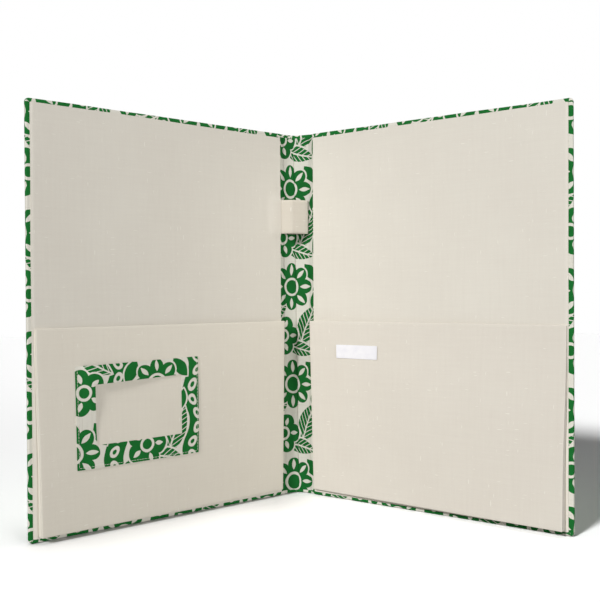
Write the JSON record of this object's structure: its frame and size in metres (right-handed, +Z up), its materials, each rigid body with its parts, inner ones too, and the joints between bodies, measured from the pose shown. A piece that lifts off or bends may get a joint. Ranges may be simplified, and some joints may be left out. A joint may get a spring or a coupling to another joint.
{
  "type": "cloth file folder",
  "caption": "Upright open presentation folder: cloth-covered boards on a soft cloth spine, low gusseted pockets inside, a window frame for a card and a pen loop.",
  "frame": {"origin": "centre of the standing folder's plan box, on the surface that it stands on", "axes": "+Z up along the spine, +Y from the open inner side towards the spine, +X towards the back cover at the viewer's right"},
  "size_m": [0.397, 0.1614, 0.32],
  "materials": {
    "printed_cloth": "matte",
    "natural_sheet": "matte",
    "natural_cloth": "matte",
    "grey_board": "matte",
    "spine_card": "matte",
    "white_label": "matte"
  },
  "bodies": {
    "spine": {"spine_cloth": "printed_cloth", "spine_card": "spine_card", "spine_lining": "printed_cloth", "pen_loop": "natural_cloth"},
    "front_cover": {"front_cover_cloth": "printed_cloth", "front_board": "grey_board", "front_liner": "natural_sheet", "front_hinge_cloth": "printed_cloth", "pen_loop_tail": "natural_cloth", "front_pocket_outer_gusset": "natural_sheet", "front_pocket_spine_gusset": "natural_sheet", "front_pocket_bottom_gusset": "natural_sheet"},
    "front_pocket": {"front_pocket_panel": "natural_sheet", "card_frame": "printed_cloth"},
    "back_cover": {"back_cover_cloth": "printed_cloth", "back_board": "grey_board", "back_liner": "natural_sheet", "back_hinge_cloth": "printed_cloth", "back_pocket_outer_gusset": "natural_sheet", "back_pocket_spine_gusset": "natural_sheet", "back_pocket_bottom_gusset": "natural_sheet"},
    "back_pocket": {"back_pocket_panel": "natural_sheet", "blank_label": "white_label"}
  },
  "joints": [
    {"name": "front_cover_hinge", "type": "hinge", "parent": "spine", "child": "front_cover", "pos_m": [-0.0135, 0.07379, 0.16], "axis": [0, 0, 1], "range_deg": [-39, 51], "deforming": ["front_hinge_cloth", "pen_loop_tail"]},
    {"name": "back_cover_hinge", "type": "hinge", "parent": "spine", "child": "back_cover", "pos_m": [0.0135, 0.07379, 0.16], "axis": [0, 0, -1], "range_deg": [-39, 51], "deforming": ["back_hinge_cloth"]},
    {"name": "front_pocket_spread", "type": "slide", "parent": "front_cover", "child": "front_pocket", "axis": [0.6293, -0.7771, 0], "range_m": [-0.0045, 0.0018], "stiffness_N_per_m": 12, "deforming": ["front_pocket_outer_gusset", "front_pocket_spine_gusset", "front_pocket_bottom_gusset"]},
    {"name": "back_pocket_spread", "type": "slide", "parent": "back_cover", "child": "back_pocket", "axis": [-0.6293, -0.7771, 0], "range_m": [-0.0045, 0.0018], "stiffness_N_per_m": 12, "deforming": ["back_pocket_outer_gusset", "back_pocket_spine_gusset", "back_pocket_bottom_gusset"]}
  ]
}
